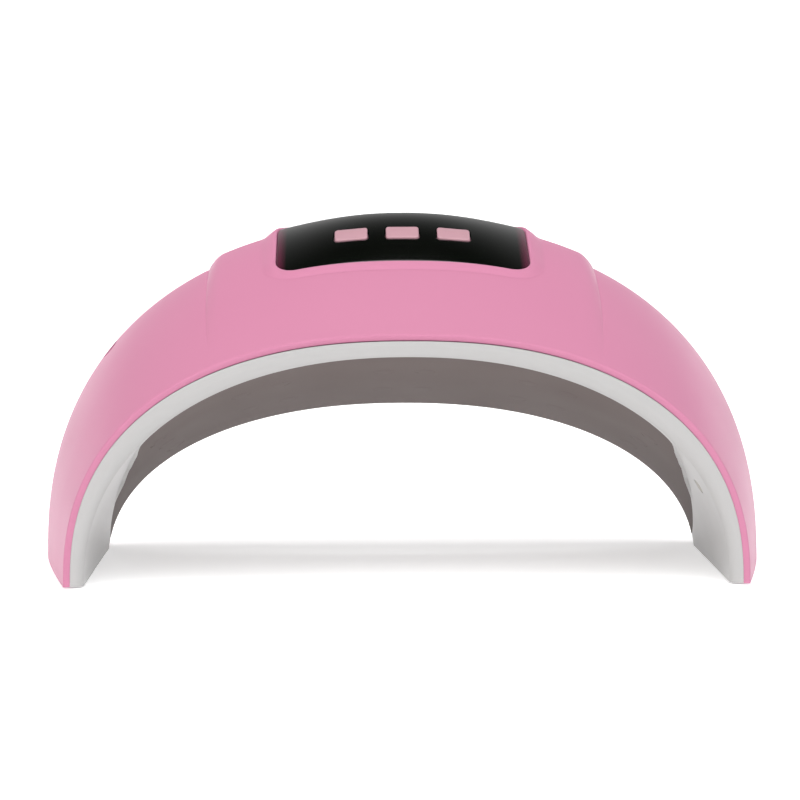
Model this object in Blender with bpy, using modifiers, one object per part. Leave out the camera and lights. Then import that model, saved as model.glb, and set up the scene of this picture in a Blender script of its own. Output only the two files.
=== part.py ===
"""Arch-shaped UV LED nail lamp, modelled as the pieces it comes apart into.

Metres, +Z up. X runs across the arch, -Y is the front where the hand goes in, and the origin is
on the ground under the middle of the lamp's box. Depths called "depth" are measured backwards
from the front rim, because every section of the lamp is an arch at some depth behind that rim.
"""
import math

import bmesh
import bpy
from mathutils import Matrix, Vector

MM = 0.001

# Driving dimensions
DEPTH = 86 * MM                  # front rim to back rim
FRONT_Y = -DEPTH / 2
SOLE = 0.5 * MM                  # the shell's feet stop this high; the rubber strips go lower
GAP = 0.3 * MM                   # clearance between neighbouring pieces
WALL = 1.6 * MM                  # outer shell
CREST = 68 * MM                  # depth of the highest and widest section
BACK_RUN = DEPTH - CREST
BACK_SQUARENESS = 2.5            # exponent of the rounded edge behind the crest
FRONT_SLOPE_POWER = 1.25         # 1 would be a straight slope from rim to crest

# Arches are superellipses: half width, height, exponent, height of the springing line
RIM_ARCH = (88.2 * MM, 64.5 * MM, 2.33, SOLE)
CREST_ARCH = (99.4 * MM, 90.2 * MM, 2.26, SOLE)
BACK_ARCH = (87.0 * MM, 45.5 * MM, 2.1, SOLE)
TUNNEL_FRONT = (82.7 * MM, 59.7 * MM, 2.2, SOLE)
THROAT = 75 * MM                 # depth of the lowest section of the tunnel
TUNNEL_THROAT = (83.2 * MM, 41.5 * MM, 2.19, -3.9 * MM)
TUNNEL_MOUTH = (85.4 * MM, 43.9 * MM, 2.19, -3.9 * MM)
FRAME_WALL = 1.2 * MM
REFLECTOR_WALL = 1.0 * MM
REFLECTOR_STEP = 1.7 * MM        # the reflector lies this far outside the frame at the front rim
REFLECTOR_START = 2.4 * MM
FLANGE_DEPTH = 0.5 * MM
CHAMFER = 1.0 * MM
PANEL_TOP = 38.0 * MM            # the white side panel's edge starts this high at the front ...
PANEL_FALL = 0.46                # ... and falls this much for each unit of depth
PANEL_BLEND = 5.0 * MM           # how gently the panel's edge runs out into the rim's return
FRAME_RETURN = 3.0 * MM

# Raised centre block, its collar and the control window
BLOCK_RIM_HALF = 50.0 * MM
BLOCK_CREST_HALF = 54.3 * MM
BLOCK_EDGE_POWER = 1.4
BLOCK_ROLL = 5.3 * MM
BLOCK_RISE = 2.6 * MM
COLLAR_HALF = 38.2 * MM
COLLAR_FRONT = 33.3 * MM
COLLAR_BACK = 75.6 * MM
COLLAR_CORNER = 13.0 * MM
COLLAR_WIDTH = 3.8 * MM
COLLAR_RISE = (0.85 * MM, 1.9 * MM)   # at the collar's front and at the crest
COLLAR_SKIRT = 1.6 * MM          # how far the skirt stands in from the collar's outer edge
COLLAR_LEDGE = 1.8 * MM
COLLAR_DROP = 3.6 * MM
WINDOW_SHEET = 1.6 * MM
WINDOW_RISE = (0.45 * MM, 1.45 * MM)  # at the collar's front and at the crest
WINDOW_CROWN = 1.05 * MM
WINDOW_RINGS = (1.0, 0.93, 0.8, 0.6, 0.4, 0.2)

# Buttons and what is under them
BUTTON_X = (-14 * MM, 0.0, 14 * MM)
SIDES3 = ("left", "middle", "right")
BUTTON_DEPTH = 52.2 * MM
BUTTON_HALF = (4.4 * MM, 3.9 * MM)
BUTTON_CORNER = 0.9 * MM
BUTTON_PROUD = 0.5 * MM
BUTTON_TRAVEL = 0.5 * MM
BUTTON_FLANGE = 0.9 * MM
STEM_RADIUS = 1.6 * MM
BOARD_DROP = 12 * MM             # control board's top face below the window, square to the slope
BOARD_HALF = (31 * MM, 13 * MM)
BOARD_SHIFT = 2 * MM
BOARD_THICK = 1.6 * MM

# UV boards
ARCH_BOARDS = (40, 65, 90, 115, 140)
LED_BOARD_HALF = (11 * MM, 25 * MM)
LED_BOARD_OFFSET = 3.6 * MM
LED_BOARD_THICK = 1.2 * MM
LED_BOARD_DEPTH = 41 * MM
LED_RADIUS = 2.7 * MM
LED_HOLE = 3.0 * MM
LED_LEVEL = 0.1 * MM             # the lens's rim lies this far behind the reflector's face
LED_DOME = 0.45 * MM

# Feet
PLATE_BOTTOM = 0.8 * MM
PLATE_TOP = 3.0 * MM
PLATE_START = 5 * MM
PLATE_END = 80 * MM
SCREW_DEPTHS = (36 * MM, 64 * MM)
BOSS_RADIUS = 3.0 * MM
BOSS_TOP = 12 * MM

JACK_ANGLE = 142.5               # degrees round the arch from the right foot
JACK_DEPTH = 66 * MM
JACK_HOLE = 2.9 * MM
JACK_TAIL = -13 * MM
SENSOR_DEPTH = 16.5 * MM
SENSOR_HEIGHT = 23.8 * MM
SENSOR_RADIUS = 2.0 * MM

for old in list(bpy.data.objects):
    bpy.data.objects.remove(old, do_unlink=True)


def collection(name):
    group = bpy.data.collections.new(name)
    bpy.context.scene.collection.children.link(group)
    return group


LAMP = collection("uv_nail_lamp")
CUTTERS = collection("cutters")


def material(name, colour, roughness, metallic=0.0):
    mat = bpy.data.materials.new(name)
    mat.use_nodes = True
    shader = mat.node_tree.nodes["Principled BSDF"]
    shader.inputs["Base Color"].default_value = (*colour, 1)
    shader.inputs["Roughness"].default_value = roughness
    shader.inputs["Metallic"].default_value = metallic
    return mat


PINK = (0.78, 0.30, 0.47)
WHITE = (0.80, 0.79, 0.78)
GREY = (0.30, 0.27, 0.26)
BLACK = (0.012, 0.016, 0.012)


# ---------------------------------------------------------------- sections

def mix(low, high, share):
    return low + (high - low) * share


def mix_arch(low, high, share):
    return tuple(mix(a, b, share) for a, b in zip(low, high))


def shell_arch(depth):
    """The outer shell's arch at a depth behind the front rim."""
    if depth <= CREST:
        rise = 1 - (1 - depth / CREST) ** FRONT_SLOPE_POWER
        return mix_arch(RIM_ARCH, CREST_ARCH, rise)
    share = min((depth - CREST) / BACK_RUN, 1)
    fall = (1 - share ** BACK_SQUARENESS) ** (1 / BACK_SQUARENESS)
    return mix_arch(BACK_ARCH, CREST_ARCH, fall)


def frame_arch(depth):
    return mix_arch(TUNNEL_FRONT, TUNNEL_THROAT, depth / THROAT)


def reflector_arch(depth):
    """The reflector's inner face, which meets the frame's at the throat."""
    if depth <= THROAT:
        start = tuple(v + REFLECTOR_STEP for v in TUNNEL_FRONT[:2]) + TUNNEL_FRONT[2:]
        return mix_arch(start, TUNNEL_THROAT, depth / THROAT)
    return mix_arch(TUNNEL_THROAT, TUNNEL_MOUTH, (depth - THROAT) / (DEPTH - THROAT))


def arch_turn(arch, height):
    """The superellipse's own angle at a height on the right half of an arch."""
    half, top, power, spring = arch
    return math.asin(((height - spring) / (top - spring)) ** (power / 2))


def arch_point(arch, angle):
    """X and Z on an arch, for an angle from 0 at the right foot to pi at the left one."""
    half, top, power, spring = arch
    foot = arch_turn(arch, SOLE)
    turn = foot + (math.pi - 2 * foot) * angle / math.pi
    cosine = math.cos(turn)
    x = math.copysign(abs(cosine) ** (2 / power), cosine) * half
    return x, spring + (top - spring) * max(math.sin(turn), 0) ** (2 / power)


def angle_at_height(arch, height):
    foot = arch_turn(arch, SOLE)
    return (arch_turn(arch, height) - foot) / (math.pi - 2 * foot) * math.pi


def height_at(arch, x):
    half, top, power, spring = arch
    return spring + (top - spring) * (1 - min(abs(x) / half, 1) ** power) ** (1 / power)


def block_fade(depth):
    """How much of the centre block's height there is: none at the front rim, all at the crest."""
    if depth <= CREST:
        return depth / CREST
    return 1 - ((depth - CREST) / BACK_RUN) ** 2


def block_half(depth):
    share = 1 - (1 - min(depth / CREST, 1)) ** BLOCK_EDGE_POWER
    return mix(BLOCK_RIM_HALF, BLOCK_CREST_HALF, share)


def block_profile(share):
    """Height of the block's shoulder, from 0 at its foot to 1 at its top, with a crisp foot."""
    return 0.35 * share + 0.65 * share ** 2 * (3 - 2 * share)


def block_height(x, depth):
    inside = (block_half(depth) - abs(x)) / BLOCK_ROLL
    return BLOCK_RISE * block_fade(depth) * block_profile(min(max(inside, 0), 1))


def crown(x, depth):
    """Height of the shell's top at a plan position."""
    return height_at(shell_arch(depth), x) + block_height(x, depth)


def panel_lift(depth):
    return min(max((depth - COLLAR_FRONT) / (CREST - COLLAR_FRONT), 0), 1)


def collar_rise(depth):
    return mix(*COLLAR_RISE, panel_lift(depth))


def window_height(x, depth):
    lift = panel_lift(depth)
    bulge = (1 - min(abs(x) / (COLLAR_HALF - COLLAR_WIDTH), 1) ** 2) ** 2
    return crown(x, depth) + mix(*WINDOW_RISE, lift) + WINDOW_CROWN * bulge * lift


def at(x, depth, z):
    return Vector((x, FRONT_Y + depth, z))


def surface_frame(arch_of, angle, depth):
    """A frame on an arch surface: X along the arch, Y backwards, Z outwards."""
    step = 0.01

    def point(turn, deep):
        x, z = arch_point(arch_of(deep), turn)
        return at(x, deep, z)

    centre = point(angle, depth)
    along = (point(angle - step, depth) - point(angle + step, depth)).normalized()
    back = (point(angle, depth + MM) - point(angle, depth - MM)).normalized()
    out = along.cross(back).normalized()
    back = out.cross(along)
    return Matrix((along, back, out)).transposed().to_4x4(), centre


# ---------------------------------------------------------------- builders

def add(name, mesh, mat, group=None):
    obj = bpy.data.objects.new(name, mesh)
    (group or LAMP).objects.link(obj)
    if mat:
        mesh.materials.append(mat)
    return obj


def mesh_from(name, bm):
    bmesh.ops.recalc_face_normals(bm, faces=bm.faces)
    mesh = bpy.data.meshes.new(name)
    bm.to_mesh(mesh)
    bm.free()
    return mesh


def smooth(mesh, degrees=40):
    mesh.shade_smooth()
    mesh.set_sharp_from_angle(angle=math.radians(degrees))


def sheet(name, rows, mat):
    """An open sheet through rows of points, all rows of one length."""
    bm = bmesh.new()
    grid = [[bm.verts.new(p) for p in row] for row in rows]
    for lower, upper in zip(grid, grid[1:]):
        for k in range(len(lower) - 1):
            bm.faces.new((lower[k], upper[k], upper[k + 1], lower[k + 1]))
    mesh = bpy.data.meshes.new(name)
    bm.to_mesh(mesh)
    bm.free()
    smooth(mesh)
    return add(name, mesh, mat)


def loft(name, rings, mat, group=None, closed=False):
    """A closed body through rings of points; closed joins the last ring to the first."""
    bm = bmesh.new()
    loops = [[bm.verts.new(p) for p in ring] for ring in rings]
    pairs = list(zip(loops, loops[1:]))
    if closed:
        pairs.append((loops[-1], loops[0]))
    for lower, upper in pairs:
        count = len(lower)
        for k in range(count):
            nxt = (k + 1) % count
            bm.faces.new((lower[k], lower[nxt], upper[nxt], upper[k]))
    if not closed:
        bm.faces.new(loops[0])
        bm.faces.new(loops[-1])
    mesh = mesh_from(name, bm)
    smooth(mesh, 30)
    return add(name, mesh, mat, group)


def thicken(obj, thickness, offset):
    mod = obj.modifiers.new("Wall", "SOLIDIFY")
    mod.thickness = thickness
    mod.offset = offset
    mod.use_even_offset = True
    return obj


def boolean(obj, tool, operation="DIFFERENCE"):
    mod = obj.modifiers.new(tool.name, "BOOLEAN")
    mod.object = tool
    mod.operation = operation
    tool.hide_render = True
    tool.display_type = "WIRE"


def box(name, size, mat, bevel=0.0, group=None):
    bm = bmesh.new()
    bmesh.ops.create_cube(bm, size=1)
    bmesh.ops.scale(bm, vec=Vector(size), verts=bm.verts)
    obj = add(name, mesh_from(name, bm), mat, group)
    if bevel:
        mod = obj.modifiers.new("Edges", "BEVEL")
        mod.width = bevel
        mod.segments = 2
    return obj


def rod(name, radius, low, high, mat, segments=20, group=None):
    """A plain cylinder along its own Z, from low to high."""
    bm = bmesh.new()
    bmesh.ops.create_cone(
        bm, cap_ends=True, segments=segments, radius1=radius, radius2=radius, depth=high - low
    )
    bmesh.ops.translate(bm, vec=(0, 0, (high + low) / 2), verts=bm.verts)
    mesh = mesh_from(name, bm)
    smooth(mesh, 30)
    return add(name, mesh, mat, group)


def turned(name, profile, mat, steps=20):
    """A body turned about its own Z from radius and height pairs, listed top to bottom."""
    bm = bmesh.new()
    verts = [bm.verts.new((r, 0, z)) for r, z in profile]
    for a, b in zip(verts, verts[1:]):
        bm.edges.new((a, b))
    mesh = bpy.data.meshes.new(name)
    bm.to_mesh(mesh)
    bm.free()
    obj = add(name, mesh, mat)
    mod = obj.modifiers.new("Turn", "SCREW")
    mod.steps = steps
    mod.render_steps = steps
    mod.use_merge_vertices = True
    mod.merge_threshold = 1e-6
    mod.use_smooth_shade = True
    return obj


def flat_outline(name, points, low, high, mat):
    """A flat plate of a plan outline, as a mesh, between two heights."""
    curve = bpy.data.curves.new(name + "_outline", "CURVE")
    curve.dimensions = "2D"
    curve.fill_mode = "BOTH"
    curve.extrude = (high - low) / 2
    spline = curve.splines.new("POLY")
    spline.points.add(len(points) - 1)
    for point, (x, y) in zip(spline.points, points):
        point.co = (x, y, 0, 1)
    spline.use_cyclic_u = True
    guide = bpy.data.objects.new(name + "_outline", curve)
    LAMP.objects.link(guide)
    guide.location.z = (high + low) / 2
    depsgraph = bpy.context.evaluated_depsgraph_get()
    mesh = bpy.data.meshes.new_from_object(guide.evaluated_get(depsgraph))
    bm = bmesh.new()
    bm.from_mesh(mesh)
    bmesh.ops.remove_doubles(bm, verts=bm.verts, dist=1e-6)
    bmesh.ops.recalc_face_normals(bm, faces=bm.faces)
    bm.to_mesh(mesh)
    bm.free()
    mesh.materials.clear()
    obj = add(name, mesh, mat)
    obj.location = guide.location
    bpy.data.objects.remove(guide)
    return obj


def wire(name, points, radius, mat):
    """An insulated lead along points smoothed by a spline through them."""
    curve = bpy.data.curves.new(name, "CURVE")
    curve.dimensions = "3D"
    curve.bevel_depth = radius
    curve.bevel_resolution = 1
    curve.use_fill_caps = True
    smooth_points = []
    ends = [points[0] * 2 - points[1], *points, points[-1] * 2 - points[-2]]
    for k in range(1, len(ends) - 2):
        a, b, c, d = ends[k - 1:k + 3]
        for part in range(4):
            s = part / 4
            smooth_points.append(0.5 * (
                2 * b + (c - a) * s + (2 * a - 5 * b + 4 * c - d) * s ** 2
                + (3 * b - a - 3 * c + d) * s ** 3
            ))
    smooth_points.append(points[-1])
    spline = curve.splines.new("POLY")
    spline.points.add(len(smooth_points) - 1)
    for point, place in zip(spline.points, smooth_points):
        point.co = (*place, 1)
    curve.materials.append(mat)
    obj = bpy.data.objects.new(name, curve)
    LAMP.objects.link(obj)
    return obj


def rounded_rectangle(half_x, half_y, corner, steps=4):
    """Points round a rectangle with round corners, counter-clockwise from the right side."""
    points = []
    for quarter in range(4):
        sx = (1, -1, -1, 1)[quarter]
        sy = (1, 1, -1, -1)[quarter]
        for k in range(steps + 1):
            turn = math.pi / 2 * (quarter + k / steps)
            points.append((
                sx * (half_x - corner) + corner * math.cos(turn),
                sy * (half_y - corner) + corner * math.sin(turn),
            ))
    return points


def place(obj, frame, origin):
    obj.matrix_world = Matrix.Translation(origin) @ frame
    return obj


# ---------------------------------------------------------------- outer shell

def shell_columns(depth):
    """Points of one shell section, right foot to left foot, with columns along the block's edge."""
    arch = shell_arch(depth)
    block = block_half(depth)
    inner = [(block - BLOCK_ROLL) * k / 5 for k in range(6)]
    inner += [block - BLOCK_ROLL * (1 - s) for s in (0.2, 0.45, 0.75)]
    centre = [(x, height_at(arch, x) + block_height(x, depth)) for x in inner]
    edge = angle_at_height(arch, height_at(arch, block))
    count = 15
    side = [arch_point(arch, mix(0, edge, k / count)) for k in range(count + 1)]
    right = side + centre[::-1]
    left = [(-x, z) for x, z in right[::-1][1:]]
    return [at(x, depth, z) for x, z in right + left]


def shell_depths():
    front = [CREST * (1 - (1 - k / 10) ** 1.4) for k in range(11)]
    back = []
    for k in range(1, 9):
        turn = math.pi / 2 * k / 8
        back.append(CREST + BACK_RUN * math.sin(turn) ** (2 / BACK_SQUARENESS))
    return front + back


def collar_outline(inset):
    """Plan points of the collar at a distance inside its outer edge, denser than its corners."""
    middle = (COLLAR_FRONT + COLLAR_BACK) / 2
    half_y = (COLLAR_BACK - COLLAR_FRONT) / 2
    corners = rounded_rectangle(
        COLLAR_HALF - inset, half_y - inset, max(COLLAR_CORNER - inset, 2 * MM), 5
    )
    points = []
    for k, (x, y) in enumerate(corners):
        nx, ny = corners[(k + 1) % len(corners)]
        pieces = max(1, round(math.hypot(nx - x, ny - y) / (8 * MM)))
        for part in range(pieces):
            points.append((mix(x, nx, part / pieces), middle + mix(y, ny, part / pieces)))
    return points


def outer_shell():
    mat = material("pink_gloss_shell", PINK, 0.22)
    rows = [shell_columns(depth) for depth in shell_depths()]
    shell = thicken(sheet("outer_shell", rows, mat), WALL, -1)
    for depth in SCREW_DEPTHS:
        for side in (-1, 1):
            x = side * boss_x(depth)
            post = rod("boss", BOSS_RADIUS, PLATE_TOP + GAP, BOSS_TOP, None, 14, CUTTERS)
            post.location = at(x, depth, 0)
            boolean(shell, post, "UNION")
            hole = rod("boss_hole", 1.5 * MM, 0, BOSS_TOP - 1.2 * MM, None, 10, CUTTERS)
            hole.location = at(x, depth, 0)
            boolean(shell, hole)
    outline = collar_outline(COLLAR_SKIRT - GAP)
    rings = [[at(x, y, z) for x, y in outline] for z in (70 * MM, 110 * MM)]
    boolean(shell, loft("panel_opening", rings, None, CUTTERS))
    frame, origin = jack_place()
    socket = rod("jack_hole", JACK_HOLE, -8 * MM, 8 * MM, None, 20, CUTTERS)
    place(socket, frame, origin)
    boolean(shell, socket)


def boss_x(depth):
    return shell_arch(depth)[0] - WALL - BOSS_RADIUS + 0.3 * MM


def jack_place():
    return surface_frame(shell_arch, math.radians(JACK_ANGLE), JACK_DEPTH)


# ---------------------------------------------------------------- white frame and reflector

def panel_height(depth):
    return PANEL_TOP - PANEL_FALL * depth


def frame_end(angle):
    """Depth at which the white frame's inner wall ends: deep at the side panels, short above."""
    depth = 0.0
    for _ in range(20):
        z = arch_point(frame_arch(min(max(depth, 0), THROAT)), angle)[1]
        depth = (PANEL_TOP - z) / PANEL_FALL
    reach = depth - FRAME_RETURN
    soft = (reach + math.hypot(reach, PANEL_BLEND)) / 2
    return min(FRAME_RETURN + soft, THROAT)


def flange_edge(angle):
    """X and Z of the white rim's outer edge, a gap inside the shell's inner face."""
    step = 0.001
    x, z = arch_point(RIM_ARCH, angle)
    ahead = arch_point(RIM_ARCH, angle + step)
    behind = arch_point(RIM_ARCH, angle - step)
    run = Vector((ahead[0] - behind[0], ahead[1] - behind[1])).normalized()
    inset = WALL + GAP + 0.1 * MM
    return x - inset * run.y, z + inset * run.x


def inner_frame():
    mat = material("white_frame", WHITE, 0.35)
    count = 44
    deep = 7
    rows = []
    for step in range(count + 1):
        angle = math.pi * step / count
        x, z = flange_edge(angle)
        row = [at(x, FLANGE_DEPTH, z)]
        half, height, power, spring = frame_arch(0)
        for out, depth in ((CHAMFER, FLANGE_DEPTH), (0, FLANGE_DEPTH + CHAMFER)):
            x, z = arch_point((half + out, height + out, power, spring), angle)
            row.append(at(x, depth, z))
        edge = frame_end(angle)
        for k in range(1, deep + 1):
            depth = mix(FLANGE_DEPTH + CHAMFER, edge, k / deep)
            x, z = arch_point(frame_arch(depth), angle)
            row.append(at(x, depth, z))
        rows.append(row)
    frame = thicken(sheet("inner_frame", rows, mat), FRAME_WALL, -1)
    hole = rod("sensor_hole", SENSOR_RADIUS + GAP, -6 * MM, 8 * MM, None, 16, CUTTERS)
    boolean(frame, place(hole, *sensor_place()))


def sensor_place():
    angle = angle_at_height(frame_arch(SENSOR_DEPTH), SENSOR_HEIGHT)
    return surface_frame(frame_arch, angle, SENSOR_DEPTH)


def reflector():
    mat = material("satin_reflector", GREY, 0.4, 0.3)
    count = 40
    depths = [mix(REFLECTOR_START, THROAT, k / 8) for k in range(9)]
    depths += [mix(THROAT, DEPTH - 0.4 * MM, k / 2) for k in (1, 2)]
    rows = []
    for depth in depths:
        arch = reflector_arch(depth)
        lean = 0.6 * FRAME_WALL * panel_height(depth) / PANEL_TOP
        low = angle_at_height(arch, max(panel_height(depth) + 1.8 * GAP + lean, SOLE + GAP))
        angles = [mix(low, math.pi - low, k / count) for k in range(count + 1)]
        rows.append([at(x, depth, z) for x, z in (arch_point(arch, a) for a in angles)])
    tray = thicken(sheet("reflector", rows, mat), REFLECTOR_WALL, 1)
    for frame, origin in led_places():
        hole = rod("led_hole", LED_HOLE, -6 * MM, 6 * MM, None, 12, CUTTERS)
        boolean(tray, place(hole, frame, origin))


# ---------------------------------------------------------------- UV boards and LEDs

def board_places():
    return [surface_frame(reflector_arch, math.radians(180 - a), LED_BOARD_DEPTH) for a in ARCH_BOARDS]


def led_grid(index):
    """Plan positions of the LEDs on a board: three in a row at the sides, else two by two."""
    if index in (0, len(ARCH_BOARDS) - 1):
        return [(0.0, v) for v in (-9 * MM, 5 * MM, 19 * MM)]
    return [(u, v) for v in (-12 * MM, 13 * MM) for u in (-5.5 * MM, 5.5 * MM)]


def led_places():
    found = []
    for index, (frame, origin) in enumerate(board_places()):
        for u, v in led_grid(index):
            found.append((frame, origin + frame.to_3x3() @ Vector((u, v, 0))))
    return found


def uv_boards():
    board_mat = material("white_aluminium_board", (0.75, 0.76, 0.74), 0.45)
    lens_mat = material("uv_led_lens", (0.70, 0.68, 0.80), 0.12)
    for index, (frame, origin) in enumerate(board_places()):
        u, v = LED_BOARD_HALF
        board = box(f"led_board_{index + 1}", (2 * u, 2 * v, LED_BOARD_THICK), board_mat)
        lift = Vector((0, 0, LED_BOARD_OFFSET + LED_BOARD_THICK / 2))
        place(board, frame, origin + frame.to_3x3() @ lift)
    base = LED_BOARD_OFFSET - GAP
    profile = [(0, base), (LED_RADIUS, base), (LED_RADIUS, LED_LEVEL)]
    for turn in (25, 55):
        angle = math.radians(turn)
        profile.append((LED_RADIUS * math.cos(angle), LED_LEVEL - LED_DOME * math.sin(angle)))
    profile.append((0, LED_LEVEL - LED_DOME))
    for number, (frame, origin) in enumerate(led_places(), 1):
        led = turned(f"uv_led_{number:02d}", profile, lens_mat, 12)
        place(led, frame, origin)


# ---------------------------------------------------------------- collar, window and buttons

def collar():
    """The raised trim round the window; its ledge carries the window from below."""
    mat = material("pink_gloss_collar", PINK, 0.22)
    width = COLLAR_WIDTH
    section = (
        # inset, part of the lip's rise, part of the window's rise, plain height
        (0.0, 0, 0, GAP), (0.3 * MM, 0.3, 0, 0.25 * MM), (width * 0.4, 0.85, 0, 0),
        (width * 0.7, 1.0, 0, 0), (width * 0.92, 0.92, 0, 0), (width, 0.7, 0.3, 0),
        (width, 0, 1, -WINDOW_SHEET - GAP), (width + COLLAR_LEDGE, 0, 1, -WINDOW_SHEET - GAP),
        (width + COLLAR_LEDGE, 0, 0, -COLLAR_DROP), (COLLAR_SKIRT, 0, 0, -COLLAR_DROP),
        (COLLAR_SKIRT, 0, 0, GAP),
    )
    rings = []
    for inset, lip_part, window_part, height in section:
        ring = []
        for x, depth in collar_outline(inset):
            window_rise = mix(*WINDOW_RISE, panel_lift(depth))
            rise = lip_part * collar_rise(depth) + window_part * window_rise + height
            ring.append(at(x, depth, crown(x, depth) + rise))
        rings.append(ring)
    loft("panel_collar", rings, mat, closed=True)


def button_frame():
    """Origin on the window over the middle button, X across, Y up the slope, Z out of the window."""
    run = 4 * MM
    low = at(0, BUTTON_DEPTH - run, window_height(0, BUTTON_DEPTH - run))
    high = at(0, BUTTON_DEPTH + run, window_height(0, BUTTON_DEPTH + run))
    up = (high - low).normalized()
    across = Vector((1, 0, 0))
    out = across.cross(up)
    centre = at(0, BUTTON_DEPTH, window_height(0, BUTTON_DEPTH))
    return Matrix((across, up, out)).transposed().to_4x4(), centre


def window_level(u, v):
    """Height of the window's face over the button frame's plane at its plan position."""
    frame, centre = button_frame()
    level = 0.0
    for _ in range(6):
        spot = centre + frame.to_3x3() @ Vector((u, v, level))
        level += (window_height(spot.x, spot.y - FRONT_Y) - spot.z) * frame[2][2]
    return level


def display_window():
    mat = material("black_gloss_window", BLACK, 0.08)
    inset = COLLAR_WIDTH + GAP
    outline = collar_outline(inset)
    middle = (COLLAR_FRONT + COLLAR_BACK) / 2
    rings = []
    for share in WINDOW_RINGS:
        rings.append([(x * share, middle + (y - middle) * share) for x, y in outline])
    top = [[at(x, y, window_height(x, y)) for x, y in ring] for ring in rings]
    bottom = [[p - Vector((0, 0, WINDOW_SHEET)) for p in ring] for ring in top]
    window = loft("display_window", bottom[::-1] + top, mat)
    frame, centre = button_frame()
    for x in BUTTON_X:
        hole = [
            [centre + frame.to_3x3() @ Vector((x + u, v, h)) for u, v in rounded_rectangle(
                BUTTON_HALF[0] + GAP, BUTTON_HALF[1] + GAP, BUTTON_CORNER + GAP, 3)]
            for h in (-8 * MM, 8 * MM)
        ]
        boolean(window, loft("button_hole", hole, None, CUTTERS))


def buttons():
    frame, centre = button_frame()
    under = -WINDOW_SHEET - GAP
    for name, x in zip(SIDES3, BUTTON_X):
        mat = material(f"pink_button_{name}", PINK, 0.3)

        def ring(grow, level, follow=1.0):
            half_x = BUTTON_HALF[0] + grow
            half_y = BUTTON_HALF[1] + grow
            corner = max(BUTTON_CORNER + grow, 0.5 * MM)
            return [(u, v, level + follow * window_level(x + u, v))
                    for u, v in rounded_rectangle(half_x, half_y, corner, 3)]

        lid = 1.0 * MM
        flat = under - BUTTON_FLANGE - 1.2 * MM
        stem = [(STEM_RADIUS * math.cos(math.tau * k / 16), STEM_RADIUS * math.sin(math.tau * k / 16))
                for k in range(16)]
        rings = [
            [(u, v, -BOARD_DROP + 5.1 * MM) for u, v in stem],
            [(u, v, flat - 0.3 * MM) for u, v in stem],
            ring(lid, flat - 0.3 * MM, 0.0), ring(lid, under - GAP), ring(0, under - GAP),
            ring(0, BUTTON_PROUD - 0.5 * MM), ring(-0.15 * MM, BUTTON_PROUD - 0.15 * MM),
            ring(-0.5 * MM, BUTTON_PROUD), ring(-2.2 * MM, BUTTON_PROUD + 0.1 * MM),
        ]
        obj = loft(f"button_{name}", rings, mat)
        place(obj, frame, centre + frame.to_3x3() @ Vector((x, 0, 0)))


def on_board(obj, u, v, level=0.0):
    """Puts a piece over the control board, level above its top face."""
    frame, centre = button_frame()
    spot = Vector((u, v, -BOARD_DROP + level))
    return place(obj, frame, centre + frame.to_3x3() @ spot)


def control_board():
    green = material("green_circuit_board", (0.02, 0.12, 0.05), 0.4)
    black = material("black_component", (0.02, 0.02, 0.02), 0.5)
    metal = material("tinned_metal", (0.6, 0.6, 0.58), 0.3, 1.0)
    board = box("control_board", (2 * BOARD_HALF[0], 2 * BOARD_HALF[1], BOARD_THICK), green)
    on_board(board, 0, BOARD_SHIFT, -BOARD_THICK / 2)
    for name, x in zip(SIDES3, BUTTON_X):
        body = on_board(box(f"tact_switch_{name}", (6 * MM, 6 * MM, 3.6 * MM), black), x, 0, 2.1 * MM)
        bore = rod("switch_bore", 1.9 * MM, -0.2 * MM, 4 * MM, None, 16, CUTTERS)
        boolean(body, on_board(bore, x, 0, 2.1 * MM))
        plunger = rod(f"switch_plunger_{name}", 1.5 * MM, 2.9 * MM, 4.8 * MM, metal, 16)
        on_board(plunger, x, 0, 0)
    on_board(box("digit_display", (15 * MM, 8 * MM, 6 * MM), black), 0, 10 * MM, 3.3 * MM)
    on_board(box("timer_chip", (9 * MM, 5 * MM, 1.6 * MM), black), -21 * MM, 9 * MM, 1.1 * MM)
    can = rod("filter_capacitor", 2.6 * MM, 0, 5 * MM, metal, 16)
    on_board(can, -26 * MM, -1 * MM, GAP)
    on_board(box("driver_inductor", (7 * MM, 7 * MM, 3.6 * MM), black), 24 * MM, 8 * MM, 2.1 * MM)


# ---------------------------------------------------------------- power inlet and sensor

def power_inlet():
    black = material("jack_plastic", (0.02, 0.02, 0.02), 0.45)
    metal = material("jack_pin", (0.7, 0.7, 0.68), 0.25, 1.0)
    frame, origin = jack_place()
    lip = 4.2 * MM
    bore = 2.6 * MM
    mouth = -WALL - 0.9 * MM
    floor = -10.5 * MM
    tail = JACK_TAIL
    profile = [
        (0, floor), (bore, floor), (bore, mouth), (lip, mouth), (lip, tail), (0, tail),
    ]
    place(turned("dc_jack", profile, black), frame, origin)
    pin = rod("dc_jack_pin", 1.05 * MM, floor + GAP, mouth - 1.5 * MM, metal, 12)
    place(pin, frame, origin)


def hand_sensor():
    lens = material("sensor_lens", (0.30, 0.27, 0.22), 0.25)
    obj = turned("hand_sensor", [
        (0, 5 * MM), (SENSOR_RADIUS, 5 * MM), (SENSOR_RADIUS, 0.3 * MM),
        (0.7 * SENSOR_RADIUS, 0.1 * MM), (0, 0),
    ], lens, 16)
    place(obj, *sensor_place())


# ---------------------------------------------------------------- feet

def foot_outline(side, start, end, inner_gap, outer_gap):
    """Plan of a foot between the frame's wall and the shell's, with a gap to each."""
    inner = TUNNEL_THROAT[0] + FRAME_WALL + inner_gap
    count = 14
    depths = [mix(start, end, k / count) for k in range(count + 1)]
    outer = [(side * (shell_arch(d)[0] - WALL - outer_gap), FRONT_Y + d) for d in depths]
    return [(side * inner, FRONT_Y + start), *outer, (side * inner, FRONT_Y + end)]


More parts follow.
